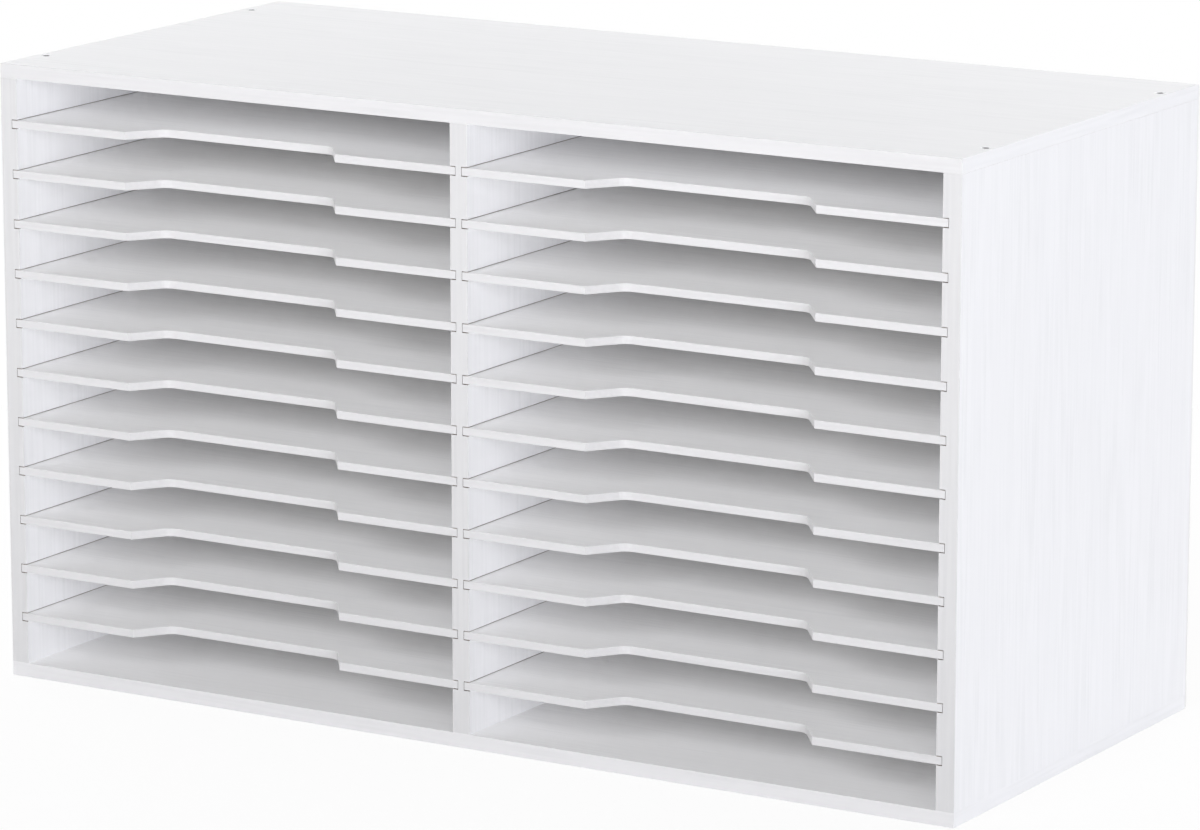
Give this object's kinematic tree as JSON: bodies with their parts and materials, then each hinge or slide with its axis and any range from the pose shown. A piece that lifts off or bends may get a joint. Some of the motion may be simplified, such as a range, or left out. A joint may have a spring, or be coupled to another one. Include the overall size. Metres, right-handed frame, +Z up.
{
  "type": "scrapbook paper organizer",
  "caption": "Low two-column pigeonhole organizer of white wood-grain laminate board, with thin slide-in shelves that have a finger notch at the front, for flat craft paper.",
  "frame": {"origin": "under the middle of the carcass, on the surface that it stands on", "axes": "+X along the front towards the right-hand side panel, +Y from the open front to the back, +Z up"},
  "size_m": [0.67, 0.3096, 0.3905],
  "materials": {
    "white_laminate": "satin white wood-grain laminate over raw board",
    "white_shelf_board": "satin white wood-grain laminate on thin board",
    "white_edge_band": "satin white, scraped arris",
    "hardboard": "plain brown hardboard",
    "zinc_steel": "zinc-plated",
    "nail_steel": "bright wire",
    "beech": "bare beech"
  },
  "bodies": {
    "carcass": {"top_panel": "white_laminate", "bottom_panel": "white_laminate", "left_side_panel": "white_laminate", "right_side_panel": "white_laminate", "centre_divider": "white_laminate", "top_panel_front_band": "white_edge_band", "top_panel_left_band": "white_edge_band", "top_panel_right_band": "white_edge_band", "bottom_panel_front_band": "white_edge_band", "bottom_panel_left_band": "white_edge_band", "bottom_panel_right_band": "white_edge_band", "left_side_panel_front_band": "white_edge_band", "right_side_panel_front_band": "white_edge_band", "centre_divider_front_band": "white_edge_band", "back_panel": "hardboard", "top_panel_screws": "zinc_steel", "bottom_panel_screws": "zinc_steel", "back_panel_nails": "nail_steel", "divider_dowels": "beech"},
    "left_shelf_01_body": {"left_shelf_01": "white_shelf_board"},
    "left_shelf_02_body": {"left_shelf_02": "white_shelf_board"},
    "left_shelf_03_body": {"left_shelf_03": "white_shelf_board"},
    "left_shelf_04_body": {"left_shelf_04": "white_shelf_board"},
    "left_shelf_05_body": {"left_shelf_05": "white_shelf_board"},
    "left_shelf_06_body": {"left_shelf_06": "white_shelf_board"},
    "left_shelf_07_body": {"left_shelf_07": "white_shelf_board"},
    "left_shelf_08_body": {"left_shelf_08": "white_shelf_board"},
    "left_shelf_09_body": {"left_shelf_09": "white_shelf_board"},
    "left_shelf_10_body": {"left_shelf_10": "white_shelf_board"},
    "left_shelf_11_body": {"left_shelf_11": "white_shelf_board"},
    "right_shelf_01_body": {"right_shelf_01": "white_shelf_board"},
    "right_shelf_02_body": {"right_shelf_02": "white_shelf_board"},
    "right_shelf_03_body": {"right_shelf_03": "white_shelf_board"},
    "right_shelf_04_body": {"right_shelf_04": "white_shelf_board"},
    "right_shelf_05_body": {"right_shelf_05": "white_shelf_board"},
    "right_shelf_06_body": {"right_shelf_06": "white_shelf_board"},
    "right_shelf_07_body": {"right_shelf_07": "white_shelf_board"},
    "right_shelf_08_body": {"right_shelf_08": "white_shelf_board"},
    "right_shelf_09_body": {"right_shelf_09": "white_shelf_board"},
    "right_shelf_10_body": {"right_shelf_10": "white_shelf_board"},
    "right_shelf_11_body": {"right_shelf_11": "white_shelf_board"}
  },
  "joints": [
    {"name": "left_shelf_01_slide", "type": "slide", "parent": "carcass", "child": "left_shelf_01_body", "axis": [0, -1, 0], "range_m": [0, 0.3]},
    {"name": "left_shelf_02_slide", "type": "slide", "parent": "carcass", "child": "left_shelf_02_body", "axis": [0, -1, 0], "range_m": [0, 0.3]},
    {"name": "left_shelf_03_slide", "type": "slide", "parent": "carcass", "child": "left_shelf_03_body", "axis": [0, -1, 0], "range_m": [0, 0.3]},
    {"name": "left_shelf_04_slide", "type": "slide", "parent": "carcass", "child": "left_shelf_04_body", "axis": [0, -1, 0], "range_m": [0, 0.3]},
    {"name": "left_shelf_05_slide", "type": "slide", "parent": "carcass", "child": "left_shelf_05_body", "axis": [0, -1, 0], "range_m": [0, 0.3]},
    {"name": "left_shelf_06_slide", "type": "slide", "parent": "carcass", "child": "left_shelf_06_body", "axis": [0, -1, 0], "range_m": [0, 0.3]},
    {"name": "left_shelf_07_slide", "type": "slide", "parent": "carcass", "child": "left_shelf_07_body", "axis": [0, -1, 0], "range_m": [0, 0.3]},
    {"name": "left_shelf_08_slide", "type": "slide", "parent": "carcass", "child": "left_shelf_08_body", "axis": [0, -1, 0], "range_m": [0, 0.3]},
    {"name": "left_shelf_09_slide", "type": "slide", "parent": "carcass", "child": "left_shelf_09_body", "axis": [0, -1, 0], "range_m": [0, 0.3]},
    {"name": "left_shelf_10_slide", "type": "slide", "parent": "carcass", "child": "left_shelf_10_body", "axis": [0, -1, 0], "range_m": [0, 0.3]},
    {"name": "left_shelf_11_slide", "type": "slide", "parent": "carcass", "child": "left_shelf_11_body", "axis": [0, -1, 0], "range_m": [0, 0.3]},
    {"name": "right_shelf_01_slide", "type": "slide", "parent": "carcass", "child": "right_shelf_01_body", "axis": [0, -1, 0], "range_m": [0, 0.3]},
    {"name": "right_shelf_02_slide", "type": "slide", "parent": "carcass", "child": "right_shelf_02_body", "axis": [0, -1, 0], "range_m": [0, 0.3]},
    {"name": "right_shelf_03_slide", "type": "slide", "parent": "carcass", "child": "right_shelf_03_body", "axis": [0, -1, 0], "range_m": [0, 0.3]},
    {"name": "right_shelf_04_slide", "type": "slide", "parent": "carcass", "child": "right_shelf_04_body", "axis": [0, -1, 0], "range_m": [0, 0.3]},
    {"name": "right_shelf_05_slide", "type": "slide", "parent": "carcass", "child": "right_shelf_05_body", "axis": [0, -1, 0], "range_m": [0, 0.3]},
    {"name": "right_shelf_06_slide", "type": "slide", "parent": "carcass", "child": "right_shelf_06_body", "axis": [0, -1, 0], "range_m": [0, 0.3]},
    {"name": "right_shelf_07_slide", "type": "slide", "parent": "carcass", "child": "right_shelf_07_body", "axis": [0, -1, 0], "range_m": [0, 0.3]},
    {"name": "right_shelf_08_slide", "type": "slide", "parent": "carcass", "child": "right_shelf_08_body", "axis": [0, -1, 0], "range_m": [0, 0.3]},
    {"name": "right_shelf_09_slide", "type": "slide", "parent": "carcass", "child": "right_shelf_09_body", "axis": [0, -1, 0], "range_m": [0, 0.3]},
    {"name": "right_shelf_10_slide", "type": "slide", "parent": "carcass", "child": "right_shelf_10_body", "axis": [0, -1, 0], "range_m": [0, 0.3]},
    {"name": "right_shelf_11_slide", "type": "slide", "parent": "carcass", "child": "right_shelf_11_body", "axis": [0, -1, 0], "range_m": [0, 0.3]}
  ]
}
